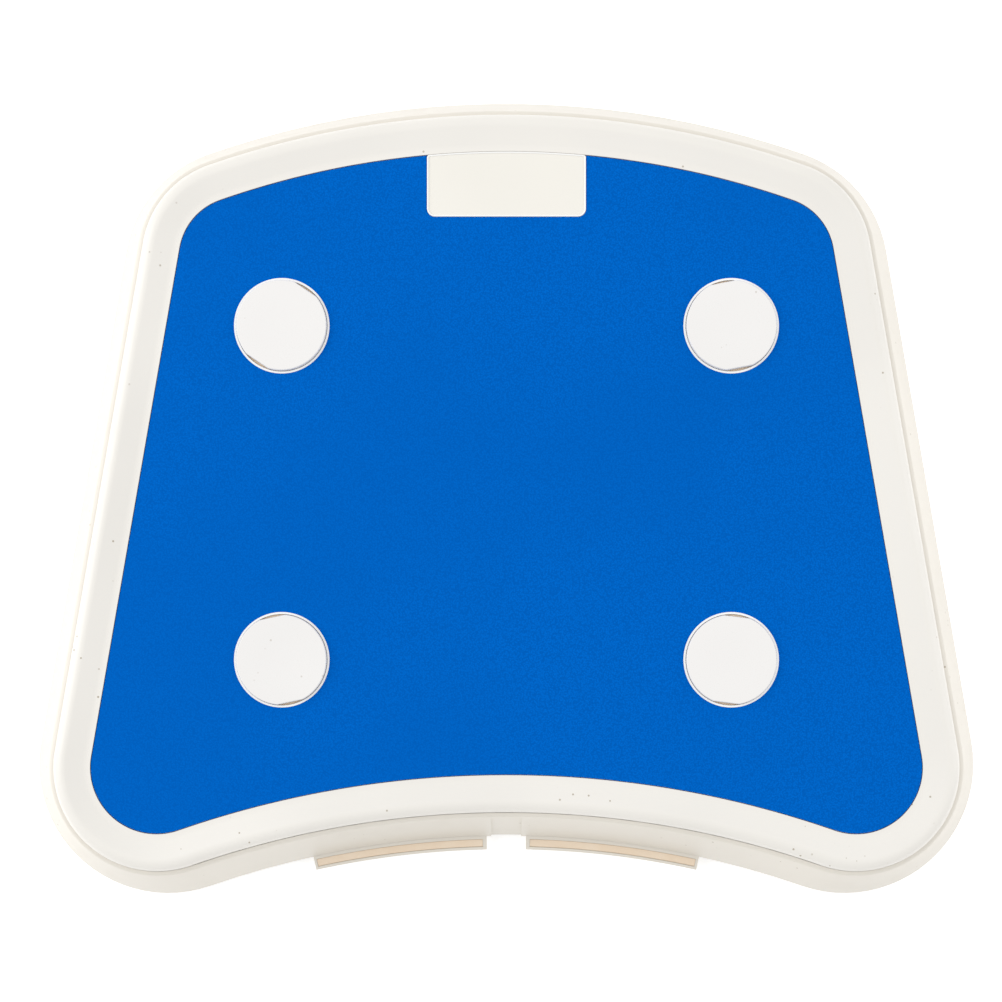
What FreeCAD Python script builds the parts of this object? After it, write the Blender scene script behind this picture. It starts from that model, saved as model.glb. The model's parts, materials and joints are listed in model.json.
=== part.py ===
# Transfer board: a moulded platform with a raised rim, a non-slip surface panel, four turning caps
# over the foot fixings, four rubber feet and two lined edge rails under its hollow near edge.
#
# Frame: millimetres, +Z up, +X to the right, the hollow edge towards -Y and the bowed edge, with the
# label plate, towards +Y. The origin is on the floor, under the middle of the board.
#
# Every outline of the board is one closed curve, the deck edge, moved outwards by a distance s. It has
# a bowed far arc, two leaning straight sides, a hollow near arc and four corner arcs, all tangent.

import FreeCAD, Part
import math
import os

from FreeCAD import Vector

# Overall plan
board_width = 600.0
board_depth = 507.0
far_arc_radius = 539.5
near_arc_radius = 619.7
side_angle = 9.85
far_corner_radius = 38.4
near_corner_radius = 41.3

# Rim, measured outwards from the deck edge
rim_width = 41.5
margin_width = 3.0
slope_angle = 15.0
slope_end = 14.5
crest_end = 20.0
brow_angle = 28.0
step_position = 23.3
shoulder_radius = 3.5

# Heights above the floor
skirt_clearance = 9.0
deck_height = 46.0
margin_rise = 0.3
step_drop = 2.7

# Walls
wall = 3.0
floor_thickness = 3.0
panel_thickness = 3.0
rib_thickness = 2.4
rib_pitch = 50.0
rib_recess = 3.0

# Clearances
panel_gap = 0.5
parting_gap = 0.2
plate_gap = 0.2
cup_gap = 0.5
running_gap = 0.3
seal_gap = 0.3
screw_gap = 0.3
liner_gap = 0.1
cap_gap = 0.7
collar_gap = 0.1

# Rim lip of the tray, and the ledge of the housing that it stands on
lip_depth = 9.0
ledge_thickness = 3.0
ledge_overlap = 1.0

# Caps and their cups
cap_side_inset = 72.0
cap_far_inset = 108.35
cap_near_inset = 71.65
cap_diameter = 56.0
cap_flat_depth = 1.2
cap_thickness = 4.0
cap_proud = 3.0
cap_edge_radius = 0.8
collar_wall = 0.9
collar_rise = 0.2
seat_width = 6.7
seal_inset = 1.2
seal_thickness = 2.7
spigot_length = 6.4
spigot_wall = 2.5
bead_height = 0.7
bead_length = 1.6
finger_slot = 3.0
cup_depth = 10.0
cap_turns = {"back_left": 56.0, "back_right": 101.0, "front_left": 102.0, "front_right": 83.0}

# Feet and their fixings
foot_height = 11.0
foot_bottom_radius = 23.0
foot_top_radius = 21.0
foot_groove_width = 2.0
foot_groove_depth = 1.2
foot_groove_radii = (12.0, 17.0)
stud_radius = 4.0
stud_head_radius = 11.0
stud_head_height = 2.5
stud_head_cover = 4.0
stud_overrun = 1.5
washer_radius = 8.0
washer_thickness = 1.6
nut_across_flats = 13.0
nut_height = 6.5
post_wall = 3.0
post_floor = 4.0
boss_radius = 9.0

# Label plate
label_width = 98.7
label_depth = 40.6
label_corner_radius = 5.0
label_edge_radius = 0.4

# Edge rails under the near edge
rail_reach = 8.7
rail_inner_end = 12.5
rail_outer_end = 122.0
rail_lip = 1.9
rail_height = 6.0
rail_floor = 2.0
rail_flange_width = 24.0
rail_flange_thickness = 2.6
rail_end_inner = 2.4
rail_end_outer = 1.6
liner_thickness = 3.7
rail_screw_inset = 18.0
rail_screw_radius = 1.75
rail_screw_head_radius = 3.4
rail_screw_head_height = 2.0
rail_screw_depth = 12.0
rail_boss_radius = 4.5
bay_recess_width = 19.0
bay_recess_depth = 0.8

# Screws that hold the tray down on the housing
case_screw_radius = 2.0
case_screw_head_radius = 3.8
case_screw_head_height = 2.4
case_screw_bite = 12.0
case_boss_radius = 4.2
case_tower_wall = 2.6
case_boss_length = 16.0
case_seat_thickness = 4.0
case_screw_inset = 30.0
case_screw_rows = (0.62, 0.0, -0.62)

# Levels worked out from the sizes above
panel_bottom = deck_height - panel_thickness
tray_floor_bottom = panel_bottom - floor_thickness
margin_top = deck_height + margin_rise
step_top = deck_height - step_drop
ledge_top = step_top - lip_depth
rib_bottom = skirt_clearance + rib_recess
cap_under = deck_height + cap_proud - cap_thickness
shelf_top = cap_under - seal_gap - seal_thickness
cup_bottom = tray_floor_bottom - cup_depth
cup_floor_top = cup_bottom + wall
case_seat_top = tray_floor_bottom - case_boss_length
case_seat_height = case_seat_top - case_seat_thickness
collar_inner = cap_diameter / 2 + cap_gap
collar_outer = collar_inner + collar_wall
hole_radius = collar_outer + collar_gap
cup_radius = collar_inner - seat_width
lip_position = step_position + parting_gap


def polar(centre, radius, degrees):
    """Point of the section plane at a radius and an angle about a centre."""
    angle = math.radians(degrees)
    return Vector(centre[0] + radius * math.cos(angle), 0, centre[1] + radius * math.sin(angle))


class Section:
    """A closed outline in a section plane: the first coordinate runs outwards, the second up."""

    def __init__(self, x, z):
        self.first = Vector(x, 0, z)
        self.at = self.first
        self.edges = []

    def line(self, x, z):
        end = Vector(x, 0, z)
        self.edges.append(Part.LineSegment(self.at, end).toShape())
        self.at = end
        return self

    def arc(self, centre, radius, start, stop):
        middle = polar(centre, radius, (start + stop) / 2)
        end = polar(centre, radius, stop)
        self.edges.append(Part.Arc(self.at, middle, end).toShape())
        self.at = end
        return self

    def face(self):
        if self.at.distanceToPoint(self.first) > 1e-6:
            self.line(self.first.x, self.first.z)
        return Part.Face(Part.Wire(self.edges))


def polygon(points):
    """Section face with straight edges through the points."""
    section = Section(*points[0])
    for x, z in points[1:]:
        section.line(x, z)
    return section.face()


def turned(points, x=0.0, y=0.0):
    """Solid turned about a vertical axis at x, y from a section of radius and height."""
    solid = polygon(points).revolve(Vector(0, 0, 0), Vector(0, 0, 1), 360)
    solid.translate(Vector(x, y, 0))
    return solid


def cylinder(radius, z0, z1, x=0.0, y=0.0):
    return Part.makeCylinder(radius, z1 - z0, Vector(x, y, z0))


def box(x0, x1, y0, y1, z0, z1):
    return Part.makeBox(x1 - x0, y1 - y0, z1 - z0, Vector(x0, y0, z0))


def fuse(shapes):
    return shapes[0].multiFuse(shapes[1:]).removeSplitter()


def solid_of(shape):
    """The one solid of a shape, or the shape itself when it has several."""
    return shape.Solids[0] if len(shape.Solids) == 1 else shape


def mirrored(shape):
    """The shape's twin on the other side of the board's middle plane."""
    return shape.mirror(Vector(0, 0, 0), Vector(1, 0, 0))


# Centres of the deck edge's arcs. The right-hand ones are worked out, and the left ones mirror them.
near_corner = Vector(
    board_width / 2 - rim_width - near_corner_radius,
    -board_depth / 2 + rim_width + near_corner_radius,
    0,
)
near_centre_y = near_corner.y - math.sqrt(
    (near_arc_radius + near_corner_radius) ** 2 - near_corner.x**2
)
far_edge = board_depth / 2 - rim_width
far_centre_y = far_edge - far_arc_radius
lean = math.radians(side_angle)
side_normal = Vector(math.cos(lean), math.sin(lean), 0)
side_direction = Vector(-math.sin(lean), math.cos(lean), 0)


def far_corner_centre():
    """Centre of the far right corner: tangent to the side line and, from inside, to the far arc."""
    base = near_corner + side_normal * (near_corner_radius - far_corner_radius)
    reach = far_arc_radius - far_corner_radius
    offset = base - Vector(0, far_centre_y, 0)
    along = offset.dot(side_direction)
    travel = -along + math.sqrt(along**2 - offset.dot(offset) + reach**2)
    return base + side_direction * travel


far_corner = far_corner_centre()
far_tangent = math.degrees(math.atan2(far_corner.y - far_centre_y, far_corner.x))
near_tangent = math.degrees(math.atan2(near_corner.y - near_centre_y, near_corner.x))


def outline_runs():
    """The deck edge as runs, anticlockwise: arcs as (centre, radius, side, start, sweep) and the two
    straight sides as (start corner, radius, end corner, radius, normal). Side is 1 where the board
    bows out and -1 where it is hollow."""
    far_left = Vector(-far_corner.x, far_corner.y, 0)
    near_left = Vector(-near_corner.x, near_corner.y, 0)
    left_normal = Vector(-side_normal.x, side_normal.y, 0)
    corner_sweep = 180 - near_tangent + side_angle
    return (
        [
            (Vector(0, far_centre_y, 0), far_arc_radius, 1, far_tangent, 180 - 2 * far_tangent),
            (far_left, far_corner_radius, 1, 180 - far_tangent, far_tangent - side_angle),
            (near_left, near_corner_radius, 1, 180 - side_angle, corner_sweep),
            (
                Vector(0, near_centre_y, 0),
                near_arc_radius,
                -1,
                180 - near_tangent,
                2 * near_tangent - 180,
            ),
            (near_corner, near_corner_radius, 1, near_tangent - 180, corner_sweep),
            (far_corner, far_corner_radius, 1, side_angle, far_tangent - side_angle),
        ],
        [
            (far_left, far_corner_radius, near_left, near_corner_radius, left_normal),
            (near_corner, near_corner_radius, far_corner, far_corner_radius, side_normal),
        ],
    )


def outline_face(s):
    """Flat face at height 0 inside the deck edge moved outwards by s."""
    arcs, sides = outline_runs()
    edges = []
    for centre, radius, side, start, sweep in arcs:
        marks = []
        for share in (0, 0.5, 1):
            angle = math.radians(start + sweep * share)
            reach = radius + side * s
            marks.append(centre + Vector(math.cos(angle), math.sin(angle), 0) * reach)
        edges.append(Part.Arc(*marks).toShape())
    for start, start_radius, end, end_radius, normal in sides:
        first = start + normal * (start_radius + s)
        last = end + normal * (end_radius + s)
        edges.append(Part.LineSegment(first, last).toShape())
    return Part.Face(Part.Wire(Part.__sortEdges__(edges)))


def slab(s, z0, z1):
    """Slab with the outline at distance s, between two heights."""
    face = outline_face(s)
    face.translate(Vector(0, 0, z0))
    return face.extrude(Vector(0, 0, z1 - z0))


def arc_run(face, run):
    """The section carried round one arc of the deck edge."""
    centre, radius, side, start, sweep = run
    placed = face.copy()
    if side < 0:
        placed = placed.mirror(Vector(0, 0, 0), Vector(1, 0, 0))
    placed.translate(Vector(radius, 0, 0))
    placed.rotate(Vector(0, 0, 0), Vector(0, 0, 1), start)
    placed.translate(centre)
    return placed.revolve(centre, Vector(0, 0, 1), sweep)


def side_run(face, run):
    """The section carried along one straight side of the deck edge."""
    start, start_radius, end, end_radius, normal = run
    placed = face.copy()
    placed.rotate(Vector(0, 0, 0), Vector(0, 0, 1), math.degrees(math.atan2(normal.y, normal.x)))
    first = start + normal * start_radius
    last = end + normal * end_radius
    placed.translate(first)
    return placed.extrude(last - first)


def ring(face):
    """The section carried all round the deck edge."""
    arcs, sides = outline_runs()
    parts = [arc_run(face, run) for run in arcs] + [side_run(face, run) for run in sides]
    return fuse(parts)


def near_strip(face, x0, x1):
    """The section carried along the hollow near edge only, between two values of x."""
    near_arc = outline_runs()[0][3]
    reach = 2 * board_depth
    strip = arc_run(face, near_arc)
    return strip.common(box(x0, x1, -reach, reach, -reach, reach))


def near_edge_point(x, s):
    """Point at x on the near edge moved outwards by s."""
    radius = near_arc_radius - s
    return Vector(x, near_centre_y + math.sqrt(radius**2 - x**2), 0)


def side_edge_x(y):
    """Half width of the deck at y, on its straight sides."""
    reach = near_corner.dot(side_normal) + near_corner_radius
    return (reach - y * side_normal.y) / side_normal.x


def corners():
    """The names and places of the four caps, each with its foot below."""
    back = far_edge - cap_far_inset
    front = near_edge_point(0, 0).y + cap_near_inset
    across = side_edge_x(back) - cap_side_inset
    places = {}
    for row, y in (("back", back), ("front", front)):
        for column, x in (("left", -across), ("right", across)):
            places[f"{row}_{column}"] = (x, y)
    return places


def case_screw_places():
    """The screws that hold tray and housing: three rows along the sides, and one at each middle."""
    places = []
    for share in case_screw_rows:
        y = share * (far_edge - case_screw_inset / 2)
        x = side_edge_x(y) - case_screw_inset
        places += [(-x, y), (x, y)]
    near_middle = near_edge_point(0, -case_screw_inset)
    return places + [(0, far_edge - case_screw_inset), (0, near_middle.y)]


def rail_screw_places():
    """The screws of the right-hand rail, on the middle line of its flange."""
    s = rim_width - rail_flange_width / 2
    return [
        near_edge_point(rail_inner_end + rail_screw_inset, s),
        near_edge_point(rail_outer_end - rail_screw_inset, s),
    ]


def rim_section():
    """Wall of the tray's rim: a flat margin, a slope that rises outwards, a crest arc from the slope's
    tilt over the top to the brow's tilt, and a brow arc on from there to upright. The underside runs
    one wall below, on the same centres."""
    slope = math.radians(slope_angle)
    brow = math.radians(brow_angle)
    crest_radius = (crest_end - slope_end) / (math.sin(slope) + math.sin(brow))
    brow_radius = (step_position - crest_end) / (1 - math.sin(brow))
    slope_top = margin_top + (slope_end - margin_width) * math.tan(slope)
    under_slope = margin_top + (wall - margin_width) * math.tan(slope) - wall / math.cos(slope)
    crest = (slope_end + crest_radius * math.sin(slope), slope_top - crest_radius * math.cos(slope))
    reach = crest_radius - brow_radius
    over = (crest[0] + reach * math.sin(brow), crest[1] + reach * math.cos(brow))
    inside = step_position - wall
    section = Section(-wall, panel_bottom)
    section.line(0, panel_bottom)
    section.line(0, margin_top)
    section.line(margin_width, margin_top)
    section.line(slope_end, slope_top)
    section.arc(crest, crest_radius, 90 + slope_angle, 90 - brow_angle)
    section.arc(over, brow_radius, 90 - brow_angle, 0)
    section.line(step_position, ledge_top)
    section.line(inside, ledge_top)
    section.line(inside, over[1])
    section.arc(over, brow_radius - wall, 0, 90 - brow_angle)
    section.arc(crest, crest_radius - wall, 90 - brow_angle, 90 + slope_angle)
    section.line(wall, under_slope)
    section.line(wall, tray_floor_bottom)
    section.line(-wall, tray_floor_bottom)
    return section.face()


def skirt_line():
    """The skirt's outer face above its foot: where the shoulder arc ends, its centre and its angle."""
    centre = (lip_position, step_top - shoulder_radius)
    dx = rim_width - centre[0]
    dz = skirt_clearance - centre[1]
    distance = math.hypot(dx, dz)
    angle = math.degrees(math.atan2(dz, dx)) + math.degrees(math.acos(shoulder_radius / distance))
    return centre, angle


def skirt_offset_at(z, depth=0.0):
    """Distance s of the skirt's outer face at height z, or of a face that lies a depth inside it."""
    centre, angle = skirt_line()
    normal = (math.cos(math.radians(angle)), math.sin(math.radians(angle)))
    reach = centre[0] * normal[0] + centre[1] * normal[1] + shoulder_radius - depth
    return (reach - z * normal[1]) / normal[0]


def skirt_section():
    """Wall of the housing: rounded shoulder, flared skirt, and the ledge under the tray's lip."""
    centre, angle = skirt_line()
    ledge_bottom = ledge_top - ledge_thickness
    section = Section(lip_position, step_top)
    section.arc(centre, shoulder_radius, 90, angle)
    section.line(rim_width, skirt_clearance)
    section.line(skirt_offset_at(skirt_clearance, wall), skirt_clearance)
    section.line(skirt_offset_at(ledge_bottom, wall), ledge_bottom)
    section.line(step_position - wall - ledge_overlap, ledge_bottom)
    section.line(step_position - wall - ledge_overlap, ledge_top)
    section.line(lip_position, ledge_top)
    return section.face()


def top_tray():
    """Upper moulding: recessed floor, rim, the cups with their collars, and the screw bosses."""
    body = fuse([slab(0, tray_floor_bottom, panel_bottom), ring(rim_section())])
    collar_top = deck_height + collar_rise
    added = []
    cut = []
    for x, y in corners().values():
        added.append(cylinder(collar_outer, tray_floor_bottom, collar_top, x, y))
        added.append(cylinder(cup_radius + wall, cup_bottom, tray_floor_bottom, x, y))
        bead_top = cap_under - spigot_length + bead_length
        groove = cylinder(
            cup_radius + bead_height + running_gap,
            cap_under - spigot_length - 2 * running_gap,
            bead_top + 2 * running_gap,
            x,
            y,
        )
        cut.append(cylinder(collar_inner, shelf_top, collar_top + wall, x, y))
        cut.append(cylinder(cup_radius, cup_floor_top, shelf_top, x, y))
        cut.append(groove)
        cut.append(cylinder(stud_radius + screw_gap, cup_bottom, cup_floor_top, x, y))
    for x, y in case_screw_places():
        added.append(cylinder(case_boss_radius, case_seat_top, tray_floor_bottom, x, y))
        bite_top = case_seat_top + case_screw_bite
        cut.append(cylinder(case_screw_radius, case_seat_top, bite_top, x, y))
    return solid_of(fuse([body] + added).cut(cut))


def rib_along_x(x0, x1, y):
    half = rib_thickness / 2
    return box(x0, x1, y - half, y + half, rib_bottom, tray_floor_bottom)


def rib_along_y(x, y0, y1):
    half = rib_thickness / 2
    return box(x - half, x + half, y0, y1, rib_bottom, tray_floor_bottom)


def rib_lattice():
    """Crossed ribs over the whole board, before they are trimmed to the housing's inside. Every post
    and tower has short ribs of its own as well, which are long enough to meet the lattice."""
    reach = max(board_width, board_depth) / 2
    count = int(reach // rib_pitch)
    ribs = []
    for k in range(-count, count + 1):
        ribs.append(rib_along_x(-reach, reach, k * rib_pitch))
        ribs.append(rib_along_y(k * rib_pitch, -reach, reach))
    span = rib_pitch / 2 + rib_thickness / 2
    for x, y in list(corners().values()) + case_screw_places():
        ribs.append(rib_along_x(x - span, x + span, y))
        ribs.append(rib_along_y(x, y - span, y + span))
    return fuse(ribs)


def inner_space(low):
    """Inside of the housing from a low level up to the tray's floor, and out into the flared skirt."""
    ledge_bottom = ledge_top - ledge_thickness
    inner = step_position - wall - ledge_overlap
    bite = wall / 2
    flare = polygon(
        [
            (inner - bite, low),
            (skirt_offset_at(low, wall - bite), low),
            (skirt_offset_at(ledge_bottom, wall - bite), ledge_bottom),
            (inner - bite, ledge_bottom),
        ]
    )
    return fuse([slab(inner, low, tray_floor_bottom), ring(flare)])


def rail_bosses():
    """Bosses for the rails' screws, from the skirt's lower edge up, grown into the skirt's wall."""
    top = skirt_clearance + rail_screw_depth + wall
    bosses = []
    for place in rail_screw_places():
        for side in (-1, 1):
            boss = cylinder(rail_boss_radius, skirt_clearance, top, side * place.x, place.y)
            bosses.append(boss)
    return Part.makeCompound(bosses).common(inner_space(skirt_clearance)).Solids


def base_housing():
    """Lower moulding: flared skirt, ribs, foot posts, screw towers and the rails' bosses."""
    ribs = rib_lattice().common(inner_space(rib_bottom))
    post_inner = cup_radius + wall + cup_gap
    post_outer = post_inner + post_wall
    tower_inner = case_boss_radius + cup_gap
    tower_outer = tower_inner + case_tower_wall
    added = rail_bosses()
    cut = []
    for x, y in corners().values():
        added.append(cylinder(post_outer, foot_height, tray_floor_bottom, x, y))
        annulus = cylinder(post_inner, foot_height + post_floor, tray_floor_bottom, x, y)
        boss = cylinder(boss_radius, foot_height + post_floor, cup_bottom, x, y)
        cut.append(annulus.cut(boss))
        cut.append(cylinder(stud_radius + screw_gap, foot_height, cup_bottom, x, y))
    for x, y in case_screw_places():
        added.append(cylinder(tower_outer, rib_bottom, tray_floor_bottom, x, y))
        cut.append(cylinder(tower_inner, case_seat_top, tray_floor_bottom, x, y))
        cut.append(cylinder(tower_inner, rib_bottom, case_seat_height, x, y))
        cut.append(
            cylinder(case_screw_radius + screw_gap, case_seat_height, case_seat_top, x, y)
        )
    for place in rail_screw_places():
        for side in (-1, 1):
            depth = skirt_clearance + rail_screw_depth
            cut.append(cylinder(rail_screw_radius, skirt_clearance, depth, side * place.x, place.y))
    cut.append(bay_recess())
    whole = fuse([ring(skirt_section()), ribs] + added)
    return solid_of(whole.cut(cut))


def bay_recess():
    """Shallow panel let into the skirt's face between the two rails."""
    top = step_top - shoulder_radius
    low = skirt_clearance - wall
    layer = polygon(
        [
            (skirt_offset_at(low, bay_recess_depth), low),
            (skirt_offset_at(low, -wall), low),
            (skirt_offset_at(top, -wall), top),
            (skirt_offset_at(top, bay_recess_depth), top),
        ]
    )
    return near_strip(layer, -bay_recess_width / 2, bay_recess_width / 2)


def label_block(gap, z0, z1):
    """Rounded block for the label plate, grown all round by a gap. It runs out past the deck edge."""
    half = label_width / 2 + gap
    low = far_edge - label_depth - gap
    block = box(-half, half, low, far_edge + margin_width, z0, z1)
    edges = [
        edge
        for edge in block.Edges
        if abs(edge.Vertexes[0].Z - edge.Vertexes[1].Z) > 1e-6 and edge.Vertexes[0].Y < low + 1e-6
    ]
    return block.makeFillet(label_corner_radius + gap, edges)


def top_edges(shape, z):
    """Edges of a shape that lie in the plane at height z."""
    return [
        edge
        for edge in shape.Edges
        if abs(edge.BoundBox.ZMin - z) < 1e-4 and abs(edge.BoundBox.ZMax - z) < 1e-4
    ]


def surface_panel():
    """Non-slip panel bonded into the tray, with round holes and a notch for the label plate."""
    panel = slab(-panel_gap, panel_bottom, deck_height)
    cut = [label_block(plate_gap, panel_bottom, deck_height)]
    for x, y in corners().values():
        cut.append(cylinder(hole_radius, panel_bottom, deck_height, x, y))
    return solid_of(panel.cut(cut))


def label_plate():
    """Blank plate in the notch, flush with the rim's margin, with eased edges."""
    plate = label_block(0, panel_bottom, margin_top).common(
        slab(-plate_gap, panel_bottom, margin_top)
    )
    plate = solid_of(plate)
    return plate.makeFillet(label_edge_radius, top_edges(plate, margin_top))


def cap(name, x, y):
    """Round cap with two flats, and under it a slotted spigot that snaps into the cup and turns."""
    radius = cap_diameter / 2
    half_flat = radius - cap_flat_depth
    top = deck_height + cap_proud
    disc = cylinder(radius, cap_under, top)
    disc = disc.common(box(-half_flat, half_flat, -radius, radius, cap_under, top))
    disc = disc.makeFillet(cap_edge_radius, top_edges(disc, top))
    outer = cup_radius - running_gap
    inner = outer - spigot_wall
    low = cap_under - spigot_length
    bead = outer + bead_height
    spigot = turned(
        [
            (inner, cap_under + 1),
            (outer, cap_under + 1),
            (outer, low + bead_length + bead_height),
            (bead, low + bead_length),
            (bead, low + bead_height),
            (outer, low),
            (inner, low),
        ]
    )
    slots = []
    for angle in (0, 90):
        slot = box(-radius, radius, -finger_slot / 2, finger_slot / 2, low, cap_under - 1)
        slot.rotate(Vector(0, 0, 0), Vector(0, 0, 1), angle + 45)
        slots.append(slot)
    shape = fuse([disc, spigot.cut(slots)])
    shape.rotate(Vector(0, 0, 0), Vector(0, 0, 1), cap_turns[name])
    shape.translate(Vector(x, y, 0))
    return solid_of(shape)


def cap_seal(x, y):
    """Flat rubber ring on the cup's shelf, just under the cap."""
    outer = collar_inner - liner_gap
    inner = cup_radius + seal_inset
    top = shelf_top + seal_thickness
    return turned([(inner, shelf_top), (outer, shelf_top), (outer, top), (inner, top)], x, y)


def foot_stud(x, y):
    """Threaded stud whose head is moulded into the foot, and whose end takes the nut in the cup."""
    end = cup_floor_top + washer_thickness + nut_height + stud_overrun
    head_top = stud_head_cover + stud_head_height
    chamfer = stud_radius / 4
    return turned(
        [
            (0, stud_head_cover),
            (stud_head_radius, stud_head_cover),
            (stud_head_radius, head_top),
            (stud_radius, head_top),
            (stud_radius, end - chamfer),
            (stud_radius - chamfer, end),
            (0, end),
        ],
        x,
        y,
    )


def foot(x, y):
    """Rubber foot with a grooved sole and eased edges, moulded round the stud's head."""
    ease = foot_groove_depth
    sole = [(0, 0)]
    for radius in foot_groove_radii:
        sole += [
            (radius, 0),
            (radius, foot_groove_depth),
            (radius + foot_groove_width, foot_groove_depth),
            (radius + foot_groove_width, 0),
        ]
    body = turned(
        sole
        + [
            (foot_bottom_radius - ease, 0),
            (foot_bottom_radius, ease),
            (foot_top_radius, foot_height - ease),
            (foot_top_radius - ease, foot_height),
            (0, foot_height),
        ],
        x,
        y,
    )
    return solid_of(body.cut(foot_stud(x, y)))


def foot_washer(x, y):
    bore = stud_radius + screw_gap
    top = cup_floor_top + washer_thickness
    section = [(bore, cup_floor_top), (washer_radius, cup_floor_top), (washer_radius, top), (bore, top)]
    return turned(section, x, y)


def foot_nut(x, y):
    """Hexagon nut with its corners turned off at both faces."""
    low = cup_floor_top + washer_thickness
    top = low + nut_height
    corner = nut_across_flats / 2 / math.cos(math.radians(30))
    points = []
    for k in range(7):
        angle = math.radians(60 * k)
        points.append(Vector(x + corner * math.cos(angle), y + corner * math.sin(angle), low))
    prism = Part.Face(Part.makePolygon(points)).extrude(Vector(0, 0, nut_height))
    rim = nut_across_flats / 2
    ease = (corner - rim) / 2
    rounding = turned(
        [(0, low), (rim, low), (corner, low + ease), (corner, top - ease), (rim, top), (0, top)], x, y
    )
    return solid_of(prism.common(rounding).cut(cylinder(stud_radius, low, top, x, y)))


def rail_levels():
    """Heights of the rail: underside, channel floor and top, which meets the skirt's lower edge."""
    top = skirt_clearance
    low = top - rail_height
    return low, low + rail_floor, top


def edge_rail():
    """Right-hand rail: a flange screwed up under the skirt, and an open channel in front of it."""
    low, channel, top = rail_levels()
    outer = rim_width + rail_reach
    inner = rim_width - wall / 2
    flange_low = top - rail_flange_thickness
    back = rim_width - rail_flange_width
    ease = rail_floor / 2
    profile = polygon(
        [
            (back, flange_low),
            (inner, flange_low),
            (inner, low + ease),
            (inner + ease, low),
            (outer - ease, low),
            (outer, low + ease),
            (outer, top - ease / 2),
            (outer - ease / 2, top),
            (back, top),
        ]
    )
    cavity = polygon(
        [
            (outer - rail_lip - channel_width(), channel),
            (outer - rail_lip, channel),
            (outer - rail_lip, top),
            (outer - rail_lip - channel_width(), top),
        ]
    )
    rail = near_strip(profile, rail_inner_end, rail_outer_end)
    hollow = near_strip(cavity, rail_inner_end + rail_end_inner, rail_outer_end - rail_end_outer)
    holes = []
    for place in rail_screw_places():
        radius = rail_screw_radius + screw_gap
        holes.append(cylinder(radius, flange_low, top, place.x, place.y))
    return solid_of(rail.cut([hollow] + holes))


def channel_width():
    """Width of the rail's channel: what its two lips leave of the reach in front of the skirt."""
    return rail_reach - 2 * rail_lip


def rail_liner():
    """Rubber strip that lies in the right-hand rail's channel."""
    channel = rail_levels()[1]
    outer = rim_width + rail_reach - rail_lip - liner_gap
    inner = outer - channel_width() + 2 * liner_gap
    profile = polygon(
        [
            (inner, channel),
            (outer, channel),
            (outer, channel + liner_thickness),
            (inner, channel + liner_thickness),
        ]
    )
    start = rail_inner_end + rail_end_inner + liner_gap
    end = rail_outer_end - rail_end_outer - liner_gap
    return solid_of(near_strip(profile, start, end))


def screw(radius, head_radius, head_height, seat, length, x, y):
    """Pan-head screw that points up: the head hangs below the seat, and the shank ends in a point."""
    end = seat + length
    ease = head_height / 3
    return turned(
        [
            (0, seat - head_height),
            (head_radius - ease, seat - head_height),
            (head_radius, seat - head_height + ease),
            (head_radius, seat),
            (radius, seat),
            (radius, end - radius),
            (radius / 4, end),
            (0, end),
        ],
        x,
        y,
    )


def case_screws():
    length = case_seat_thickness + case_screw_bite - case_screw_radius
    return Part.makeCompound(
        [
            screw(
                case_screw_radius,
                case_screw_head_radius,
                case_screw_head_height,
                case_seat_height,
                length,
                x,
                y,
            )
            for x, y in case_screw_places()
        ]
    )


def rail_screws():
    seat = skirt_clearance - rail_flange_thickness
    length = rail_flange_thickness + rail_screw_depth - rail_screw_radius
    return Part.makeCompound(
        [
            screw(
                rail_screw_radius,
                rail_screw_head_radius,
                rail_screw_head_height,
                seat,
                length,
                side * place.x,
                place.y,
            )
            for place in rail_screw_places()
            for side in (-1, 1)
        ]
    )


def build():
    """Every piece of the board by its node name."""
    nodes = {
        "top_tray": top_tray(),
        "base_housing": base_housing(),
        "surface_panel": surface_panel(),
        "label_plate": label_plate(),
        "edge_rail_right": edge_rail(),
        "rail_liner_right": rail_liner(),
        "case_screws": case_screws(),
        "rail_screws": rail_screws(),
    }
    nodes["edge_rail_left"] = mirrored(nodes["edge_rail_right"])
    nodes["rail_liner_left"] = mirrored(nodes["rail_liner_right"])
    for name, (x, y) in corners().items():
        nodes[f"cap_{name}"] = cap(name, x, y)
        nodes[f"cap_seal_{name}"] = cap_seal(x, y)
        nodes[f"foot_{name}"] = foot(x, y)
        nodes[f"foot_stud_{name}"] = foot_stud(x, y)
        nodes[f"foot_washer_{name}"] = foot_washer(x, y)
        nodes[f"foot_nut_{name}"] = foot_nut(x, y)
    return nodes


os.makedirs("parts", exist_ok=True)
for node, shape in build().items():
    shape.exportStep(f"parts/{node}.step")
    size = shape.BoundBox
    print(
        f"{node:24s} solids {len(shape.Solids)} valid {shape.isValid()} volume {shape.Volume / 1000:9.2f} cm3"
        f"  x {size.XMin:7.1f} {size.XMax:7.1f}  y {size.YMin:7.1f} {size.YMax:7.1f}"
        f"  z {size.ZMin:5.1f} {size.ZMax:5.1f}"
    )
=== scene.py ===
"""Looks of the transfer board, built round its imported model.

The board is a tray-shaped platform: a cream upper moulding with a rolled rim, a flared lower housing, a
blue non-slip deck, a blank label plate, four turning caps and, under the hollow near edge, two lined
rails. Every length is in metres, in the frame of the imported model: +X right, +Y far, +Z up.
"""

import json
import logging
import math
from dataclasses import dataclass
from enum import Enum
from typing import Any, NamedTuple, Sequence

import bmesh
import bpy
import numpy as np
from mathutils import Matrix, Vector
from mathutils.geometry import delaunay_2d_cdt


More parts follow.
